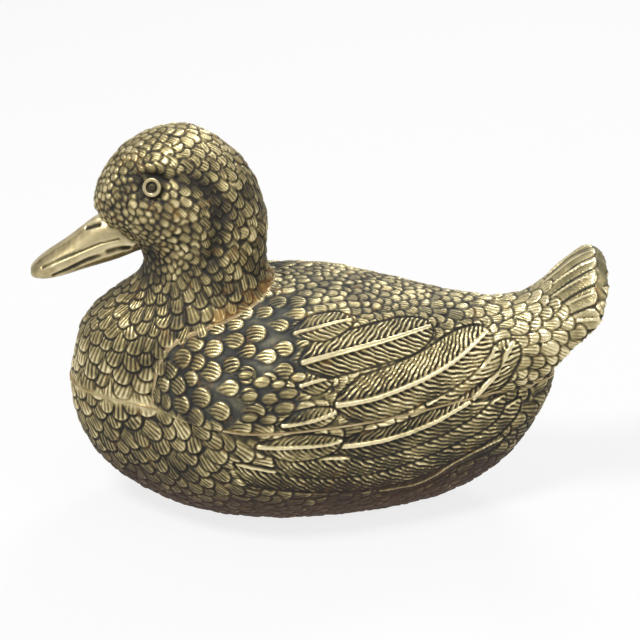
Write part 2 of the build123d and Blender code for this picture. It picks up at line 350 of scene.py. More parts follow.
# %% Forms of the bill
nostril = [(-107, -4, 155), (-101, -5.5, 157.3)]
lip_line = [(-130, -9.5, 135.5), (-119.4, -9.8, 140.6), (-110, -9.8, 144.6),
            (-100.6, -9.5, 148.6), (-91, -9.5, 151)]
mouth_line = [(-124, -10, 131.5), (-116.2, -10.6, 135), (-107.6, -10.6, 139.6),
              (-99.2, -9, 143), (-91.6, -8.8, 146.1), (-86, -9.6, 145.5)]
gape = [(-96, -10, 144.4), (-90, -9, 146), (-86, -9.6, 145.5)]
root_softness = 24
bill_share = blurred(bill_share, root_softness)
on_bill_now = smooth(bill_share, 0.35, 0.65)
bill_form = -1.3 * soft_path(nostril, 1.9) - 0.6 * soft_path(lip_line, 1.5)
bill_form -= 1.0 * soft_path(mouth_line, 2.0) + 0.8 * soft_path(gape, 2.8)
ridge_share = (1 - smooth(np.abs(spots[:, 1]), 2.2, 4.2)) * smooth(outward[:, 2], 0.2, 0.5)
bill_form += 0.45 * ridge_share * smooth(-spots[:, 0], 90, 98)
root_step = np.exp(-(((bill_share - 0.5) / 0.2) ** 2))
form = form + bill_form * on_bill_now - 0.9 * root_step
print("forms of the bill in mm:", round(bill_form.min(), 1), "to", round(bill_form.max(), 1))

# %% [markdown]
# The tail is a fan. Each feather's shaft is drawn in the fan's own tilted plane and then
# dropped onto the skin from above and from below, so that both faces carry it. The outer
# feathers are pressed first and the middle one last, because it lies on top. To write a
# long feather we need a smooth shaft line on the skin, and how far each spot of the skin
# lies along it and to its side.


# %% A shaft line on the skin
def smooth_line(points, count):
    """Evenly spaced places on a smooth curve through some points."""
    points = np.array(points)
    ends = np.vstack([2 * points[0] - points[1], points, 2 * points[-1] - points[-2]])
    fine = []
    for a, b, c, d in zip(ends, ends[1:], ends[2:], ends[3:]):
        for t in np.linspace(0, 1, 20, endpoint=False):
            pull = (2 * a - 5 * b + 4 * c - d) * t**2 + (3 * b - a - 3 * c + d) * t**3
            fine.append(0.5 * (2 * b + (c - a) * t + pull))
    fine = np.array(fine + [points[-1]])
    run = np.r_[0, np.cumsum(np.linalg.norm(np.diff(fine, axis=0), axis=1))]
    even = np.linspace(0, run[-1], count)
    return np.stack([np.interp(even, run, fine[:, axis]) for axis in range(3)], 1)


def shaft_frames(points):
    """Places on the skin along a shaft, with its direction, side and outward normal."""
    length = np.sum(np.linalg.norm(np.diff(points, axis=0), axis=1))
    line = smooth_line(points, max(8, int(length / 1.5)))
    normals = []
    for number, place in enumerate(line):
        hit, normal = skin_tree.find_nearest(Vector(place) * MM)[:2]
        line[number] = np.array(hit) / MM
        normals.append(np.array(normal))
    normals = unit(np.array(normals))
    ahead = unit(np.gradient(line, axis=0))
    run = np.r_[0, np.cumsum(np.linalg.norm(np.diff(line, axis=0), axis=1))]
    return line, ahead, unit(np.cross(normals, ahead)), normals, run


# %% [markdown]
# All long feathers share one recipe, and a look says how one differs. Opening and closing
# are where its vanes have widened and begin to close, and root is its width at the root.
# Lift and arch raise its tip and its middle. Slant, curl, pitch and groove shape the barbs,
# shaft and ridge the shaft, and facing says how far round an edge the feather may reach.

# %% Press a long feather
trench_depth, trench_width = 0.9, 0.9
long_look = dict(opening=0.16, closing=0.72, root=0.12, lift=0.6, arch=0.5, slant=0.9,
                 curl=0.55, pitch=3.8, groove=1.75, shaft=1.5, ridge=1.1, facing=0.3)


def press_feather(points, upper_side, upper, lower, look):
    """A feather along a shaft; upper and lower are the widths of its two vanes."""
    line, ahead, side, normals, run = shaft_frames(points)
    side = side * upper_side
    reach = max(upper, lower) + 3
    chosen = np.unique(np.concatenate([near(place, reach) for place in line[::3]]))
    gaps = np.linalg.norm(spots[chosen][:, None, :] - line[None, :, :], axis=2)
    nearest = np.argmin(gaps, axis=1)
    offset = spots[chosen] - line[nearest]
    along = run[nearest] + np.sum(offset * ahead[nearest], 1)
    cross = np.sum(offset * side[nearest], 1)
    facing = np.sum(outward[chosen] * normals[nearest], 1)
    length = run[-1]
    share = along / length
    half = np.where(cross > 0, upper, lower)
    opening = np.clip(share / look["opening"], 0, 1) ** 0.6
    closing = np.clip(share - look["closing"], 0, 1) / (1 - look["closing"])
    closing = np.sqrt(np.clip(1 - closing**2, 0, 1))
    width = half * (look["root"] + (1 - look["root"]) * opening) * closing
    inside = np.minimum(width - np.abs(cross), along + 0.5)
    inside = np.minimum(inside, (length - along) * 1.5)
    inside = np.where((facing > look["facing"]) & (gaps.min(1) < reach + 1), inside, -9)
    arch = np.clip(1 - (np.abs(cross) / np.maximum(width, 0.5)) ** 2, -1, 1)
    pad = look["lift"] * np.clip(share, 0, 1) + look["arch"] * arch
    slant = along - look["slant"] * np.abs(cross) - look["curl"] * cross**2 / half
    wander = 0.1 * np.sin(along * 0.9 + upper) + 0.12 * np.sin(along * 0.37 + cross * 0.5)
    part = (slant / look["pitch"] + wander) % 1
    groove = np.exp(-(((part - 0.5) / 0.19) ** 2))
    shaft = look["shaft"] * (1 - 0.5 * np.clip(share, 0, 1))
    free = smooth(np.abs(cross), shaft, shaft + 0.9) * smooth(inside, 0.1, 1.3)
    ridge = np.sqrt(np.clip(1 - (cross / shaft) ** 2, 0, 1)) * (along < length * 0.97)
    beside_shaft = np.exp(-(((np.abs(cross) - shaft - 0.3) / 0.4) ** 2))
    pad = pad - look["groove"] * groove * free + look["ridge"] * ridge - 0.45 * beside_shaft
    press(chosen, inside, pad, slant / look["pitch"], 0.0, 0.0, trench_depth, trench_width)


# %% Tail feathers
fan_tilt = math.radians(46)
fan_length = 34.0
fan_half_width = 37.0
fan_rise = 66.5
root_reach, root_half_width = -24.0, 15.0
ray_height = 40
tip_overhang = 3.5
vane_width = 6.0
feather_count = 11
middle_feather = (feather_count - 1) / 2
feather_turn = math.radians(15.5)
tail_reach = (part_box("back_shell")[1].x / MM) - 1.3
fan_along = np.array([math.cos(fan_tilt), 0, math.sin(fan_tilt)])
fan_up = np.array([-math.sin(fan_tilt), 0, math.cos(fan_tilt)])
fan_root = np.array([tail_reach, 0, seam_level + fan_rise]) - fan_along * fan_length
tail_look = dict(long_look, opening=0.3, closing=0.93, root=0.6, lift=0.55, arch=0.35,
                 slant=1.5, curl=0.1, pitch=2.2, groove=0.8, shaft=0.9, ridge=0.7, facing=-0.25)


def tail_points(number, above):
    """Places on the skin under or over one tail feather, from root to tip."""
    turn = (number - middle_feather) * feather_turn
    tip = np.array([fan_length * math.cos(turn), fan_half_width * math.sin(turn)])
    root = np.array([root_reach, root_half_width * math.sin(turn)])
    points = []
    for share in np.linspace(0, 1, 14):
        along, sideways = root + (tip - root) * share
        start = fan_root + fan_along * along + np.array([0, sideways, 0])
        start = start + fan_up * ray_height * above
        hit = skin_tree.ray_cast(Vector(start) * MM, Vector(-fan_up * above))[0]
        if hit is not None:
            points.append(np.array(hit) / MM)
    if len(points) > 2:
        points.append(points[-1] + unit(points[-1] - points[-2]) * tip_overhang)
    return points


tail_order = sorted(range(feather_count), key=lambda number: -abs(number - middle_feather))
for above in (-1, 1):
    for number in tail_order:
        points = tail_points(number, above)
        if len(points) > 3:
            press_feather(points, 1, vane_width, vane_width, tail_look)
print("tail feathers on each face:", feather_count)

# %% [markdown]
# Small scales cover the head, neck, breast, belly and rump. They point away from the
# bill, then down the neck, then towards the tail. The spacing is small on the face and
# grows towards the breast. Scattered points that keep their distance give the slightly
# uneven rows of handwork. The shoulder behind the neck is different: larger tongues stand
# apart there on a smooth dark ground.

# %% Which way the small scales point
bill_root = np.array([-93.0, 0.0, 150.0])
chin = np.array([-70.0, 0.0, 132.0])


def scale_flow(place, normal, on_neck):
    """The direction of the scales at many places, along the surface."""
    x, _, z = place.T
    from_bill = unit(place - bill_root) + np.array([0, 0, -0.8])
    from_chin = unit(place - chin) * 0.6 + np.array([0, 0, -1.0])
    sag = -0.9 * (1 - smooth(x, -110, 30)) * (1 - smooth(z, seam_level - 8, seam_level + 8))
    rise = 0.35 * smooth(x, -60, -30) * (1 - smooth(x, 0, 40))
    rise = rise * smooth(z, seam_level, seam_level + 10)
    to_tail = np.stack([np.ones_like(x), np.zeros_like(x), sag + rise], 1)
    head = (smooth(z, 118, 140) * on_neck)[:, None]
    neck = (smooth(z, seam_level - 12, seam_level + 8) * on_neck)[:, None]
    flow = to_tail * (1 - neck) + neck * (from_bill * head + from_chin * (1 - head))
    return unit(flow - normal * np.sum(flow * normal, 1, keepdims=True))


# %% Where each kind of scale lies
x, y, z = spots.T
turn_round = np.degrees(np.arctan2(np.abs(y), z - seam_level))
fan_reach = (spots - fan_root) @ fan_along
shoulder = (breast_share < 0.5) & (turn_round > 22) & (turn_round < 88) & (x < 4)
on_fan = (fan_reach > 1.5) & (z > seam_level + 18) & (x > 118)
from_bill = np.linalg.norm(spots - bill_root, axis=1)
head_gap = 2.9 + 2.5 * smooth(from_bill, 30, 85)
neck_gap = 5.8 + 1.9 * smooth(-z, -125, -85)
head_share = smooth(z, 125, 140)
upper_gap = head_gap * head_share + neck_gap * (1 - head_share)
low_gap = 7.2 - 3.0 * smooth(-z, -45, -12)
body_gap = np.where(z < seam_level, low_gap, 4.4 + 1.2 * smooth(x, 60, 100))
gap_at = np.where(breast_share > 0.5, upper_gap, np.where(shoulder, 8.6, body_gap))
gap_at = np.where((breast_share > 0.5) & (z < seam_level), low_gap, gap_at)
bare = on_fan | (eye_gap < 7.0) | (bill_share > 0.25)
print("shoulder spots:", int(shoulder.sum()), "fan spots:", int(on_fan.sum()))

# %% Scatter the scales
candidate_limit = 120000
candidates = rng.permutation(np.flatnonzero(~bare))[:candidate_limit]
candidate_tree = kdtree.KDTree(len(candidates))
for number, index in enumerate(candidates):
    candidate_tree.insert(spots[index], number)
candidate_tree.balance()
blocked = np.zeros(len(candidates), bool)
roots = []
for number, index in enumerate(candidates):
    if blocked[number]:
        continue
    roots.append(index)
    for _, other, _ in candidate_tree.find_range(spots[index], gap_at[index]):
        blocked[other] = True
roots = np.array(roots)
roots = roots[np.argsort(-from_bill[roots])]
flows = scale_flow(spots[roots], outward[roots], breast_share[roots])
print("scales:", len(roots))


# %% Press one scale
def press_scale(place, normal, flow, half_width, tip, tail, lift, crown, kind):
    """A rounded pad; its tip hangs free along the flow and its tail runs under others."""
    side = np.cross(normal, flow)
    chosen = near(place, math.hypot(half_width, max(tip, tail)) + 1)
    offset = spots[chosen] - place
    along = offset @ flow
    cross = offset @ side
    if kind == "scale":
        tip_off = np.hypot(np.abs(cross / half_width) ** 1.25, along / tip)
        round_off = np.where(along > 0, tip_off, np.abs(cross) / half_width)
        inside = np.minimum((1 - round_off) * half_width, along + tail)
        spread = 1 + 0.04 * np.clip(along, -tail, tip)
        cycles = (cross / spread + 0.18 * along) / (0.42 * half_width)
    else:
        narrow = half_width
        if kind == "tongue":
            narrow = half_width * (0.4 + 0.6 * smooth(along, -tail, 0))
        round_off = np.hypot(cross / narrow, along / np.where(along > 0, tip, tail))
        inside = (1 - round_off) * half_width
        cycles = (cross + 0.25 * along + 0.045 * along**2) / 2.0
    inside = np.where(outward[chosen] @ normal > 0.2, inside, -9)
    slope = np.clip((along + tail) / (tip + tail), 0, 1)
    pad = lift * slope + crown * (1 - np.minimum(round_off, 1) ** 2)
    cut = (0.5 - 0.5 * np.sin(2 * math.pi * cycles)) ** 2
    depth, width = min(0.3 + 0.08 * half_width, 0.75), 0.28 + 0.07 * half_width
    if kind == "tongue":
        pad = pad - 0.42 * cut * smooth(inside, 0.5, 1.3) - 0.45 * (1 - slope)
        depth = 0.75 * smooth(along, -tail * 0.6, tip * 0.4)
    elif kind == "scale":
        pad = pad - 0.42 * cut * smooth(inside, 0.4, 1.4) * np.clip(half_width - 2.2, 0, 1)
        depth = depth * (0.35 + 0.65 * smooth(along, -tail * 0.4, tip * 0.4))
    line_share = 0.6 if kind == "knob" else rng.uniform(0.35, 1)
    press(chosen, inside, pad, cycles, line_share, rng.uniform(-1, 1), depth, width)


# %% Press the scales
for root, flow in zip(roots, flows):
    normal = outward[root]
    gap = gap_at[root]
    sway = rng.normal(0, 0.22)
    flow = flow * math.cos(sway) + np.cross(normal, flow) * math.sin(sway)
    size = rng.uniform(0.84, 1.2)
    if shoulder[root]:
        wide, tip, tail, lift, crown, kind = 4.9 * size, 5.2 * size, 7.5, 1.0, 0.45, "tongue"
    else:
        lift = rng.uniform(0.45, 0.95) * min(1, 0.45 + gap / 12)
        wide, tip, tail, crown, kind = gap * 0.7 * size, gap * 0.9, gap * 0.8, 0.42, "scale"
    press_scale(spots[root], normal, flow, wide, tip, tail, lift, crown, kind)
print("height of the scales in mm:", round(height.min(), 2), round(height.max(), 2))

# %% [markdown]
# The long wing feathers are listed one by one. Each one is a row of places for its shaft, from
# root to tip, given as the reach along the duck and a turn round the body: 0 degrees is
# the crest of the back and 90 degrees the seam. Below them lie long bands of slanting
# barbs, and in front of their roots a cluster of small knobs.


# %% Wing feathers
def on_skin(reach, turn, side):
    """The place on the skin at a reach along the duck and a turn round its long axis."""
    angle = math.radians(turn)
    start = Vector((reach, 0, seam_level)) * MM
    away = Vector((0, side * math.sin(angle), math.cos(angle)))
    return np.array(skin_tree.ray_cast(start, away)[0]) / MM


leaf_look = dict(long_look, opening=0.4, closing=0.45, pitch=3.1, shaft=1.1, ridge=0.8,
                 slant=0.5, curl=0.7, groove=1.4)
band_look = dict(long_look, opening=0.06, closing=0.86, shaft=0.9, ridge=0.5, arch=0.3)
wing_feathers = [
    ([(40, 134), (62, 139), (83, 137), (106, 143)], 5, 5, dict(band_look, pitch=2.3)),
    ([(-32, 105), (20, 116), (51, 122), (82, 121), (114, 110)], 2, 13, band_look),
    ([(-12, 98), (6, 104), (41, 109), (82, 107), (106, 97)], 2, 13, band_look),
    ([(18, 100), (42, 102), (66, 101), (88, 92), (104, 74)], 7, 10, long_look),
    ([(-21, 96), (-5, 97), (13, 98), (22, 97)], 7, 9, leaf_look),
    ([(88, 92), (98, 72), (103, 54), (109, 38)], 8, 8, long_look),
    ([(64, 86), (80, 74), (93, 58), (100, 42)], 8, 8, long_look),
    ([(18, 79), (33, 78), (46, 75), (66, 66), (81, 52), (96, 29)], 13, 13, long_look),
    ([(-9, 87), (3, 86), (13, 84), (19, 82)], 7, 6, leaf_look),
    ([(0, 70), (8, 68), (17, 66)], 7, 7, leaf_look),
    ([(1, 60), (23, 54), (45, 46), (67, 33)], 11, 11, long_look),
    ([(-3, 46), (10, 42), (20, 38), (27, 36)], 9, 8, leaf_look),
]
for side in (-1, 1):
    for places, upper, lower, look in wing_feathers:
        points = [on_skin(reach, turn, side) for reach, turn in places]
        press_feather(points, -side, upper, lower, look)
print("wing feathers:", 2 * len(wing_feathers))

# %% Knobs in front of the wing feathers
knobs = [(-18, 68, 2.6), (-24, 74, 2.5), (-14, 75, 2.7), (-5, 73, 3.0), (-7, 79, 3.1),
         (-15, 84, 2.7), (-24, 83, 2.6), (-26, 65, 2.4), (0, 66, 2.3), (-10, 69, 2.2)]
for side in (-1, 1):
    for reach, turn, radius in knobs:
        place = on_skin(reach, turn, side)
        normal = np.array(skin_tree.find_nearest(Vector(place) * MM)[1])
        flow = unit(np.array([1.0, 0, 0.2]) - normal * normal[0])
        wide = radius * rng.uniform(0.95, 1.2)
        press_scale(place, normal, flow, wide, radius * 1.7, radius * 1.9, 0.5, 0.6, "knob")
print("knobs:", 2 * len(knobs))

# %% [markdown]
# The seams are smoothed: filed flat round the breast, where a bright stripe shows, and
# left as a fine line elsewhere. The flat under the belly stays flat. A blurred copy of
# the heights tells how deep each spot lies below its surroundings. The metal reads that
# later as dark patina in the hollows and pale rubbed high places, and as painted shade
# in the hollows and painted light on the raised tips.

# %% File the seams
height_limit = 1.2
cast_softness = 2
stripe = smooth(-x, 45, 70)
seam_gap = np.abs(z - seam_level - 0.4 * np.sin(x * 0.35) * stripe)
still = np.exp(-((seam_gap / (0.9 + 1.7 * stripe)) ** 2))
height = blurred(height, cast_softness)
height = height * (1 - still * (0.55 + 0.45 * stripe)) + 0.15 * still * stripe
height = np.minimum(height, height_limit)
lines = lines * (1 - still)
print("spots on the filed seam:", int((still > 0.5).sum()))

# %% How deep each spot lies
near_rounds, far_rounds, bill_rounds = 14, 40, 30
around = blurred(height, near_rounds)
# patina and painted shade and light: lower than the surroundings is darker, raised tips are
# brighter
hollow = 1.15 * (height - 0.5 * around - 0.5 * blurred(around, far_rounds))
hollow = hollow + 0.35 * still * stripe
# on the bill, painted shade in the grooves and painted light on the ridge
hollow = hollow * (1 - on_bill_now) + on_bill_now * (form - blurred(form, bill_rounds))
print("hollows in mm:", round(hollow.min(), 2), "to", round(hollow.max(), 2))

# %% [markdown]
# The tone isn't even over the duck. The rows below hold each scale's own tint and the
# uneven casting; painted light on the front of the breast and the crown; painted shade on
# the low belly, under the chin, round the eye, in the hollows of the head, under the wing
# and at the foot of the neck; a brighter rump and a darker nape, shoulder and tail. Each
# row makes one such part brighter, where its amount is above 0, or darker.

# %% Where the metal is brighter or darker, with painted light and shade
wobble = np.sin(x * 0.31 + 1.3 * np.sin(z * 0.17))
wobble = wobble * np.sin(z * 0.27 + y * 0.23 + 1.1 * np.sin(x * 0.13))
low_belly = 1 - smooth(z, 10, 66)
nape = (breast_share > 0.5) * smooth(x, -42, -25) * smooth(z, 100, 125)
rump = smooth(x, 70, 100) * smooth(z, seam_level, seam_level + 12)
chin_gap = np.linalg.norm(folded_spots - [-74, -12, 140], axis=1)
neck_foot = (breast_share > 0.5) * smooth(z, 84, 100) * (1 - smooth(z, 128, 145))
above_seam = smooth(z, seam_level - 10, seam_level + 10)
tones = {
    "own tint of each scale": (0.09, shade),
    "uneven casting": (0.05, wobble),
    # painted shade: the low belly darker
    "low belly": (-0.38, low_belly),
    "nape": (-0.06, nape),
    "rump": (0.18, rump),
    "tail": (-0.02, on_fan),
    "shoulder": (-0.13, shoulder),
    # painted shade in the hollows of the head, under the chin and round the eye
    "hollows of the head": (0.16, np.minimum(form, 0) * (1 - on_bill_now)),
    "chin": (-0.24, 1 - smooth(chin_gap, 4, 22)),
    "round the eye": (-0.3, eye_hollow),
    # painted light on the front of the breast and on the crown
    "front of the breast": (0.08, smooth(-x, 75, 100) * above_seam * (z < 130)),
    "crown": (0.08, smooth(z, 192, 200)),
    # painted shade under the wing and at the foot of the neck
    "under the wing": (-0.1, smooth(turn_round, 92, 104) * smooth(x, -10, 10)),
    "foot of the neck": (-0.12, neck_foot),
}
# shade now holds the tints and the painted light and shade
shade = sum(amount * where for amount, where in tones.values())
bare_ground = 1 - smooth(height, -0.45, 0.15)
upper_back = smooth(-turn_round, -55, -15) * (z > seam_level) * (breast_share < 0.5)
slate = blurred(np.clip(0.65 * shoulder * bare_ground + 0.35 * upper_back, 0, 1), 3)
slate = slate * (1 - low_belly)
residue = braze_share * breast_share * smooth(z, 94, 112) * smooth(x, -50, -38)
print("tone from", round(shade.min(), 2), "to", round(shade.max(), 2))

# %% Raise the skin
sink = 0.35
wobble_height = 0.22
box_gap = 0.02
level_ground = smooth(z, 0.2, 5)
lift = (height - sink + wobble_height * wobble) * level_ground * (1 - bill_share)
raised = spots + outward * (lift + form)[:, None]
box_low, box_high = (np.array(corner) / MM for corner in cad_box)
raised = np.clip(raised, box_low + box_gap, box_high - box_gap)
print("raised in mm:", round(lift.min(), 2), "to", round(lift.max(), 2))

# %% [markdown]
# The pressed skin is cut into pieces of a moderate size. Each is closed by a cap that runs
# straight in from the surface, then, on the large cuts, towards the duck's long axis, and
# meets in one point, so that it never breaks through the skin. The cut edges keep the
# normals of the whole skin, so the cuts don't show.

# %% Find the open edges
mesh.vertices.foreach_set("co", (raised * MM).ravel())
mesh.update()
skin_normals = mesh_array(mesh.vertices, "normal", 3)
quads = mesh_array(mesh.polygons, "vertices", 4).astype(int)
face_place = raised[quads].mean(1)
face_breast = breast_share[quads].mean(1) > 0.5
face_bill = bill_share[quads].mean(1) > 0.5
cap_depth = 2.2
large_rim, neck_top = 12, 140
share_to_axis = 0.93


def boundary_loops(faces):
    """The rings of vertices round the open edges of some faces, in the faces' direction."""
    start = faces.ravel()
    end = np.roll(faces, -1, axis=1).ravel()
    key = start * len(spots) + end
    back = end * len(spots) + start
    open_edges = ~np.isin(key, back)
    follow = {}
    for a, b in zip(start[open_edges].tolist(), end[open_edges].tolist()):
        follow.setdefault(a, []).append(b)
    loops = []
    while follow:
        first = step = next(iter(follow))
        loop = []
        while True:
            loop.append(step)
            ways = follow[step]
            after = ways.pop()
            if not ways:
                del follow[step]
            step = after
            if step == first:
                break
        loops.append(loop)
    return loops


# %% Make a closed piece of the skin
skin_values = dict(hollow=hollow, across=across, lines=lines, shade=shade, slate=slate,
                   residue=residue)


def skin_piece(name, chosen, nodes):
    """A closed piece of the skin from some of its faces."""
    faces = quads[chosen]
    loops = boundary_loops(faces)
    used, where = np.unique(faces, return_inverse=True)
    where = where.reshape(faces.shape)
    renumber = {int(old): new for new, old in enumerate(used)}
    places = (raised[used] * MM).tolist()
    all_faces = where.tolist()
    normals = skin_normals[used].tolist()
    for loop in loops:
        ring = [renumber[index] for index in loop]
        rim = raised[loop]
        inner_rims = [rim - outward[loop] * cap_depth]
        if np.ptp(rim[:, 2]) > large_rim and rim[:, 2].mean() < neck_top:
            axis = rim * [1, 0, 0] + [0, 0, seam_level]
            inner_rims.append(rim + (axis - rim) * share_to_axis)
        for inner in inner_rims:
            first = len(places)
            places.extend((inner * MM).tolist())
            for number in range(len(ring)):
                after = (number + 1) % len(ring)
                all_faces.append((ring[after], ring[number], first + number, first + after))
            ring = [first + number for number in range(len(ring))]
        centre = len(places)
        places.append((inner_rims[-1].mean(0) * MM).tolist())
        for a, b in zip(ring, ring[1:] + ring[:1]):
            all_faces.append((b, a, centre))
    added = len(places) - len(used)
    normals += [(0.0, 0.0, 1.0)] * added
    data = bpy.data.meshes.new(name)
    data.from_pydata(places, [], all_faces)
    for key, value in skin_values.items():
        layer = data.attributes.new(key, "FLOAT", "POINT")
        layer.data.foreach_set("value", np.r_[value[used], np.zeros(added)])
    data.polygons.foreach_set("use_smooth", np.ones(len(all_faces), bool))
    data.update()
    data.normals_split_custom_set_from_vertices(normals)
    piece = in_scene(name, data)
    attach(piece, "root")
    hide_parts(*nodes)
    triangles = sum(len(face) - 2 for face in all_faces)
    print(name, "triangles:", triangles, "open loops:", len(loops))
    return piece


# %% Cut the skin
neck_cut, tail_cut = 128.0, 108
belly_cuts = (-55, 0, 55)
fx, fy, fz = face_place.T
head_part = face_breast & (fz > neck_cut) & ~face_bill
breast_part = face_breast & (fz <= neck_cut) & (fz > seam_level)
low_part = fz <= seam_level
tail_part = ~low_part & (fx > tail_cut)
back_part = ~(head_part | breast_part | low_part | tail_part | face_bill)
stretch = np.digitize(fx, belly_cuts)
cuts = [
    ("left_head_skin", head_part & (fy < 0), "head_and_breast_shell"),
    ("right_head_skin", head_part & (fy >= 0), "head_and_breast_shell"),
    ("breast_skin", breast_part, "head_and_breast_shell"),
    ("left_back_skin", back_part & (fy < 0), "back_shell"),
    ("right_back_skin", back_part & (fy >= 0), "back_shell"),
    ("bill_skin", face_bill, "bill"),
    ("tail_skin", tail_part, "back_shell"),
    ("belly_front_skin", low_part & (stretch == 0), "belly_shell"),
    ("belly_keel_skin", low_part & (stretch == 1), "belly_shell"),
    ("belly_middle_skin", low_part & (stretch == 2), "belly_shell"),
    ("belly_rear_skin", low_part & (stretch == 3), "belly_shell"),
]
skin_pieces = [skin_piece(name, part, [node])
               for name, part, node in cuts]
bpy.data.objects.remove(skin)

# %% [markdown]
# The eyes are cast rings with a blunt pupil in a dark dish. Each starts as a short round
# bar where the solid's eye is; its front is inset and pushed in for the dish, inset again
# and pulled out for the pupil, and the edges are bevelled. The dish gets a low value in the
# same hollow attribute as the feathers, so it gets painted shade, darker the deeper it lies.

# %% Where an eye looks
eye_ahead_angle, eye_up_angle = math.radians(12), math.radians(18)
front_depth = 0.05 * MM


def eye_front(name, side):
    """The middle of the front of a solid eye, and the way the eye looks."""
    level = math.cos(eye_up_angle)
    ahead = Vector((-math.sin(eye_ahead_angle) * level,
                    side * math.cos(eye_ahead_angle) * level, math.sin(eye_up_angle)))
    corners = [vert.co.copy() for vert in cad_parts[name].data.vertices]
    reach = max(corner.dot(ahead) for corner in corners)
    front = [corner for corner in corners if corner.dot(ahead) > reach - front_depth]
    return sum(front, Vector()) / len(front), ahead


def front_face_only(obj, ahead):
    """Selects the face that looks furthest ahead, in edit mode."""
    bpy.ops.mesh.select_all(action="DESELECT")
    shape = bmesh.from_edit_mesh(obj.data)
    shape.faces.ensure_lookup_table()
    best = max(shape.faces, key=lambda face: (face.normal + face.calc_center_median()).dot(ahead))
    best.select = True
    shape.faces.active = best
    bmesh.update_edit_mesh(obj.data)


# %% Darken the dish of an eye
pupil_reach, dish_reach, dark_depth = 1.2, 3.1, 1.2
pupil_tone, dish_shade, rim_tone = -0.6, -0.5, 0.12


def darken_dish(eye, place, ahead):
    """Writes the hollow value: low in the dish and on the pupil, high on the rim."""
    low = eye.data.attributes.new("hollow", "FLOAT", "POINT")
    for vert in eye.data.vertices:
        offset = vert.co - place
        depth = offset.dot(-ahead) / MM
        from_axis = (offset - ahead * offset.dot(ahead)).length / MM
        tone = rim_tone
        if from_axis < pupil_reach:
            tone = pupil_tone
        elif from_axis < dish_reach:
            # painted shade: the dish darker the deeper it lies
            tone = dish_shade * min(1, depth / dark_depth)
        low.data[vert.index].value = tone


# %% Model the eyes
eye_radius, bar_depth = 4.65 * MM, 3.2 * MM
rim_width, dish_depth = 1.75 * MM, 1.5 * MM
dish_width, pupil_rise, pupil_edge = 1.3 * MM, 0.95 * MM, 0.5 * MM
edge_width = 0.55 * MM


def make_eye(node_name, side):
    place, ahead = eye_front(node_name, side)
    deselect_all()
    bpy.ops.mesh.primitive_cylinder_add(
        vertices=64, radius=eye_radius, depth=bar_depth, location=place - ahead * bar_depth / 2,
        rotation=ahead.to_track_quat("Z", "Y").to_euler())
    eye = bpy.context.active_object
    eye.name = node_name + "_ring"
    bpy.ops.object.transform_apply(location=True, rotation=True, scale=True)
    bpy.ops.object.mode_set(mode="EDIT")
    bpy.ops.mesh.select_mode(type="FACE")
    front_face_only(eye, ahead)
    bpy.ops.mesh.inset(thickness=rim_width)
    bpy.ops.mesh.extrude_region_move(TRANSFORM_OT_translate={"value": -ahead * dish_depth})
    bpy.ops.mesh.inset(thickness=dish_width)
    bpy.ops.mesh.extrude_region_move(TRANSFORM_OT_translate={"value": ahead * pupil_rise})
    bpy.ops.mesh.inset(thickness=pupil_edge)
    bpy.ops.object.mode_set(mode="OBJECT")
    round_off = eye.modifiers.new("round_off", "BEVEL")
    round_off.width = edge_width
    round_off.segments = 4
    round_off.limit_method = "ANGLE"
    round_off.angle_limit = math.radians(40)
    bpy.ops.object.modifier_apply(modifier=round_off.name)
    bpy.ops.object.shade_smooth_by_angle(angle=math.radians(50))
    darken_dish(eye, place, ahead)
    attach(eye, "root")
    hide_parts(node_name)
    print(eye.name, "faces:", len(eye.data.polygons))
    return eye


eyes = [make_eye("left_eye", -1), make_eye("right_eye", 1)]

# %% [markdown]
# The metal. Old brass like this was darkened all over and then rubbed, so the high places
# are pale gold, the slopes olive, and the hollows slate grey or brown. The hollow value
# written into the skin drives that, and also paints shade into the hollows and light onto
# the raised tips. Uneven rubbing and the grain of the sand mould show on every part, so
# each is a node group that all the metals share.

# %% Helpers for node trees
def node(tree, kind, **settings):
    made = tree.nodes.new("ShaderNode" + kind)
    for key, value in settings.items():
        setattr(made, key, value)
    return made


def feed(tree, socket, value):
    """Links a socket to another, or sets it to a number."""
    if isinstance(value, (int, float)):
        socket.default_value = value
    else:
        tree.links.new(value, socket)


def maths(tree, operation, *values):
    """A Math node on sockets or numbers."""
    made = node(tree, "Math", operation=operation)
    for socket, value in zip(made.inputs, values):
        feed(tree, socket, value)
    return made.outputs[0]


def remap(tree, value, low, high, to_low=0.0, to_high=1.0):
    made = node(tree, "MapRange")
    labels = ("Value", "From Min", "From Max", "To Min", "To Max")
    for label, part in zip(labels, (value, low, high, to_low, to_high)):
        feed(tree, made.inputs[label], part)
    return made.outputs[0]


def noise(tree, scale, detail):
    """A noise over the object's own coordinates."""
    place = node(tree, "TexCoord")
    made = node(tree, "TexNoise")
    tree.links.new(place.outputs["Object"], made.inputs["Vector"])
    feed(tree, made.inputs["Scale"], scale)
    made.inputs["Detail"].default_value = detail
    return made.outputs["Fac"]


def ramp(tree, value, stops):
    made = node(tree, "ValToRGB")
    elements = made.color_ramp.elements
    while len(elements) < len(stops):
        elements.new(0.5)
    for element, (position, colour) in zip(elements, stops):
        element.position = position
        element.color = (*colour, 1)
    tree.links.new(value, made.inputs["Fac"])
    return made.outputs["Color"]


def mix_colours(tree, share, first, second):
    made = node(tree, "Mix", data_type="RGBA")
    feed(tree, made.inputs[0], share)
    for socket, colour in ((made.inputs[6], first), (made.inputs[7], second)):
        if isinstance(colour, tuple):
            socket.default_value = (*colour, 1)
        else:
            tree.links.new(colour, socket)
    return made.outputs[2]


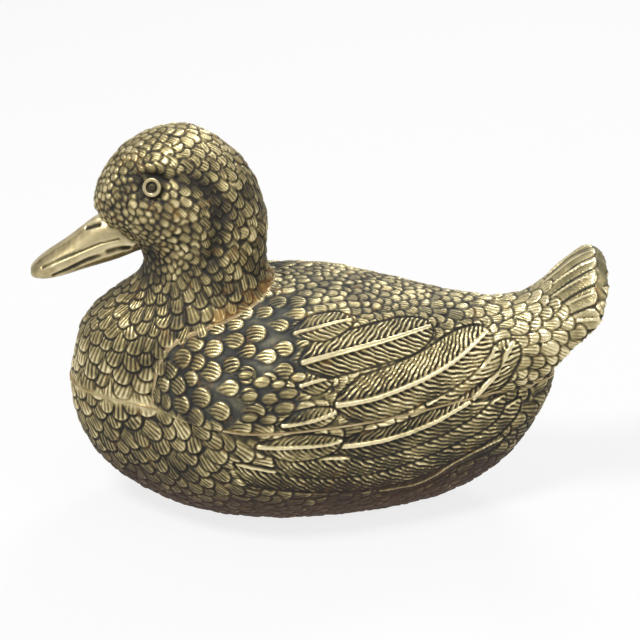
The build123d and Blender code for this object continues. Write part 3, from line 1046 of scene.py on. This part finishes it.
# %% Effects that all the metals share
def effect_group(name, inputs, output):
    """A node group with number inputs and one number output."""
    group = bpy.data.node_groups.new(name, "ShaderNodeTree")
    for label, start in inputs:
        socket = group.interface.new_socket(label, in_out="INPUT", socket_type="NodeSocketFloat")
        socket.default_value = start
    group.interface.new_socket(output, in_out="OUTPUT", socket_type="NodeSocketFloat")
    return group, group.nodes.new("NodeGroupInput"), group.nodes.new("NodeGroupOutput")


rubbing, taken, given = effect_group("uneven_rubbing", [("Scale", 60), ("Amount", 0.1)], "Tone")
broad_cloud = noise(rubbing, taken.outputs["Scale"], 4)
fine_cloud = noise(rubbing, maths(rubbing, "MULTIPLY", taken.outputs["Scale"], 4.5), 2)
both = maths(rubbing, "ADD", broad_cloud, maths(rubbing, "MULTIPLY", fine_cloud, 0.5))
centred = maths(rubbing, "MULTIPLY_ADD", both, 4, -3)
rubbed_tone = maths(rubbing, "MULTIPLY", centred, taken.outputs["Amount"])
rubbing.links.new(rubbed_tone, given.inputs["Tone"])

grain, taken, given = effect_group("mould_grain", [("Scale", 450), ("Pits", 0.5)], "Height")
fine_grain = noise(grain, taken.outputs["Scale"], 3)
pit_noise = noise(grain, maths(grain, "MULTIPLY", taken.outputs["Scale"], 0.45), 1)
pits = remap(grain, pit_noise, 0.3, 0.42)
grain_sum = maths(grain, "MULTIPLY_ADD", pits, taken.outputs["Pits"], fine_grain)
grain.links.new(grain_sum, given.inputs["Height"])
print("shared effects:", rubbing.name, grain.name)


def effect(tree, group, **settings):
    """Places a shared effect in a material with its own values."""
    made = node(tree, "Group", node_tree=group)
    for label, value in settings.items():
        made.inputs[label].default_value = value
    return made.outputs[0]


def attribute(tree, name):
    return node(tree, "Attribute", attribute_name=name).outputs["Fac"]


def new_metal(name):
    metal = bpy.data.materials.new(name)
    metal.use_nodes = True
    return metal, metal.node_tree, metal.node_tree.nodes["Principled BSDF"]


def add_bump(tree, shader, height, distance):
    bump = node(tree, "Bump")
    bump.inputs["Distance"].default_value = distance
    tree.links.new(height, bump.inputs["Height"])
    tree.links.new(bump.outputs["Normal"], shader.inputs["Normal"])


# %% [markdown]
# The metal is one tone at each place, from dark to bright: how high it lies, which gives
# the patina and painted shade in the hollows, the tint and painted light and shade of its
# part, the engraved lines and some uneven rubbing add up to it. The tone picks a warm or a
# slate colour, and bright places are also more metallic and smoother.

# %% The tone of the antique brass
antique, tree, shader = new_metal("antique_brass_chased")
wave = maths(tree, "SINE", maths(tree, "MULTIPLY", attribute(tree, "across"), 2 * math.pi))
valley = maths(tree, "MULTIPLY_ADD", wave, -0.5, 0.5)
cut = maths(tree, "MULTIPLY", maths(tree, "MULTIPLY", valley, valley), attribute(tree, "lines"))
# hollow: patina and painted shade; shade: tints and painted light and shade
tone = maths(tree, "ADD", attribute(tree, "hollow"), attribute(tree, "shade"))
tone = maths(tree, "MULTIPLY_ADD", cut, -0.3, tone)
tone = maths(tree, "ADD", tone, effect(tree, rubbing, Scale=60, Amount=0.2))
# the tone of worn patina together with painted light and shade
rubbed_and_shaded = remap(tree, tone, -0.58, 0.46)
print("nodes for the tone:", len(tree.nodes))

# %% Its colours
residue_orange, belly_shade_brown = (0.33, 0.165, 0.035), (0.085, 0.038, 0.018)
belly_shade_top, belly_shade_bottom = 42 * MM, 10 * MM
gold_range = [(0.0, (0.010, 0.008, 0.005)), (0.28, (0.036, 0.028, 0.014)),
              (0.52, (0.155, 0.125, 0.055)), (0.76, (0.42, 0.345, 0.165)),
              (1.0, (0.82, 0.71, 0.43))]
slate_range = [(0.0, (0.010, 0.012, 0.012)), (0.35, (0.048, 0.054, 0.048)),
               (0.6, (0.14, 0.142, 0.105)), (0.85, (0.43, 0.385, 0.22)),
               (1.0, (0.80, 0.70, 0.43))]
warm, cold = ramp(tree, rubbed_and_shaded, gold_range), ramp(tree, rubbed_and_shaded, slate_range)
colour = mix_colours(tree, attribute(tree, "slate"), warm, cold)
patches = effect(tree, rubbing, Scale=110, Amount=0.6)
residue = maths(tree, "ADD", attribute(tree, "residue"), patches)
colour = mix_colours(tree, remap(tree, residue, 0.25, 1.1, 0.0, 0.6), colour, residue_orange)
# painted shade: darker and browner towards the bottom of the belly
place = node(tree, "TexCoord")
heights = node(tree, "SeparateXYZ")
tree.links.new(place.outputs["Object"], heights.inputs[0])
low_shade_share = remap(tree, heights.outputs["Z"], belly_shade_top, belly_shade_bottom, 0.0, 0.7)
colour = mix_colours(tree, low_shade_share, colour, belly_shade_brown)
tree.links.new(colour, shader.inputs["Base Color"])
print("colours in the ranges:", len(gold_range) + len(slate_range))

# %% Its shine and grain
cast_bump, line_bump, grain_bump = 0.16 * MM, -1.4, 0.4
tree.links.new(remap(tree, rubbed_and_shaded, 0.2, 0.7, 0.25, 0.85), shader.inputs["Metallic"])
tree.links.new(remap(tree, rubbed_and_shaded, 0.2, 0.95, 0.7, 0.32), shader.inputs["Roughness"])
cast_height = maths(tree, "MULTIPLY", effect(tree, grain, Scale=450, Pits=0.4), grain_bump)
add_bump(tree, shader, maths(tree, "MULTIPLY_ADD", cut, line_bump, cast_height), cast_bump)
print("nodes in all:", len(tree.nodes))

# %% [markdown]
# The bill and the eyes were polished, and the beads of braze were filed flush. Both are
# bright nearly all over, so one function makes both, each with its own colours, roughness
# and bump. Braze is a little redder than the brass beside it.


# %% Polished brass and braze
def rubbed_shaded_metal(name, stops, roughness, bump):
    """A bright metal with uneven rubbing, and painted shade where it lies low."""
    metal, tree, shader = new_metal(name)
    tone = maths(tree, "ADD", effect(tree, rubbing, Scale=75, Amount=0.2), 0.62)
    # painted shade in the grooves of the bill and the dish of the eyes, painted light on raised
    # parts
    tone = maths(tree, "ADD", tone, maths(tree, "MULTIPLY", attribute(tree, "hollow"), 1.2))
    tree.links.new(ramp(tree, tone, stops), shader.inputs["Base Color"])
    dull = remap(tree, tone, 0.1, 0.9, roughness + 0.2, roughness)
    tree.links.new(dull, shader.inputs["Roughness"])
    tree.links.new(remap(tree, tone, 0.0, 0.5, 0.4, 0.9), shader.inputs["Metallic"])
    add_bump(tree, shader, effect(tree, grain, Scale=260, Pits=0.8), bump)
    return metal


polished_stops = [(0.0, (0.03, 0.025, 0.014)), (0.35, (0.16, 0.13, 0.06)),
                  (0.6, (0.46, 0.38, 0.2)), (1.0, (0.74, 0.64, 0.4))]
braze_stops = [(0.0, (0.05, 0.028, 0.014)), (0.35, (0.22, 0.15, 0.07)),
               (0.7, (0.52, 0.41, 0.23)), (1.0, (0.74, 0.61, 0.39))]
polished = rubbed_shaded_metal("polished_brass_worn", polished_stops, 0.3, 0.1 * MM)
braze = rubbed_shaded_metal("braze_filler_dull", braze_stops, 0.42, 0.2 * MM)
print("metals:", antique.name, polished.name, braze.name)

# %% Put the metals on
for piece in skin_pieces:
    piece.data.materials.append(polished if piece.name == "bill_skin" else antique)
for eye in eyes:
    eye.data.materials.append(polished)
for name in ("body_seam_braze", "neck_seam_braze"):
    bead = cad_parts[name]
    bead.data.materials.clear()
    bead.data.materials.append(braze)
print("polished brass on the bill and eyes, braze on the beads")

# %% [markdown]
# A pale floor and soft lamps. The floor's own paint is a light grey, so that it throws
# little light back under the belly, and rays from the camera and from reflections see it
# mostly as white, so the shadow stays but the background is bright. The main soft lamp
# hangs in front on the left, and weaker ones open the shadows.

# %% Floor
deselect_all()
bpy.ops.mesh.primitive_plane_add(size=8, location=(0, 0, 0))
floor = bpy.context.active_object
floor.name = "floor"
floor_white_share = 0.8
floor_paint, tree, shader = new_metal("floor_paint")
shader.inputs["Base Color"].default_value = (0.62, 0.62, 0.62, 1)
shader.inputs["Roughness"].default_value = 0.9
shader.inputs["Specular IOR Level"].default_value = 0.1
glow = node(tree, "Emission")
glow.inputs["Strength"].default_value = 1
path = node(tree, "LightPath")
seen = maths(tree, "MAXIMUM", path.outputs["Is Camera Ray"], path.outputs["Is Glossy Ray"])
blend = node(tree, "MixShader")
tree.links.new(maths(tree, "MULTIPLY", seen, floor_white_share), blend.inputs["Fac"])
tree.links.new(shader.outputs["BSDF"], blend.inputs[1])
tree.links.new(glow.outputs["Emission"], blend.inputs[2])
tree.links.new(blend.outputs["Shader"], tree.nodes["Material Output"].inputs["Surface"])
floor.data.materials.append(floor_paint)
print("floor:", floor.name)

# %% World
sky_light = 0.45
reflected_sky_share = 0.35
world = bpy.data.worlds.new("studio")
bpy.context.scene.world = world
world.use_nodes = True
tree = world.node_tree
background = tree.nodes["Background"]
background.inputs["Color"].default_value = (1, 1, 1, 1)
path = node(tree, "LightPath")
reflected = maths(tree, "MULTIPLY", path.outputs["Is Glossy Ray"], reflected_sky_share)
seen = maths(tree, "MAXIMUM", path.outputs["Is Camera Ray"], reflected)
tree.links.new(remap(tree, seen, 0, 1, sky_light, 1.0), background.inputs["Strength"])
print("light from the world:", sky_light)

# %% Lamps
lamp_aim = Vector((0, 0, 0.08))
lamps = [("key_lamp", (-0.6, -0.65, 1.45), 0.5, 25), ("fill_lamp", (1.1, -0.8, 0.8), 0.8, 6),
         ("rim_lamp", (0.4, 1.1, 1.3), 0.6, 12)]
for name, place, size, power in lamps:
    data = bpy.data.lights.new(name, "AREA")
    data.shape = "DISK"
    data.size = size
    data.energy = power
    lamp = in_scene(name, data)
    lamp.location = place
    lamp.rotation_mode = "QUATERNION"
    lamp.rotation_quaternion = (lamp_aim - Vector(place)).to_track_quat("-Z", "Y")
print("lamps:", len(lamps))
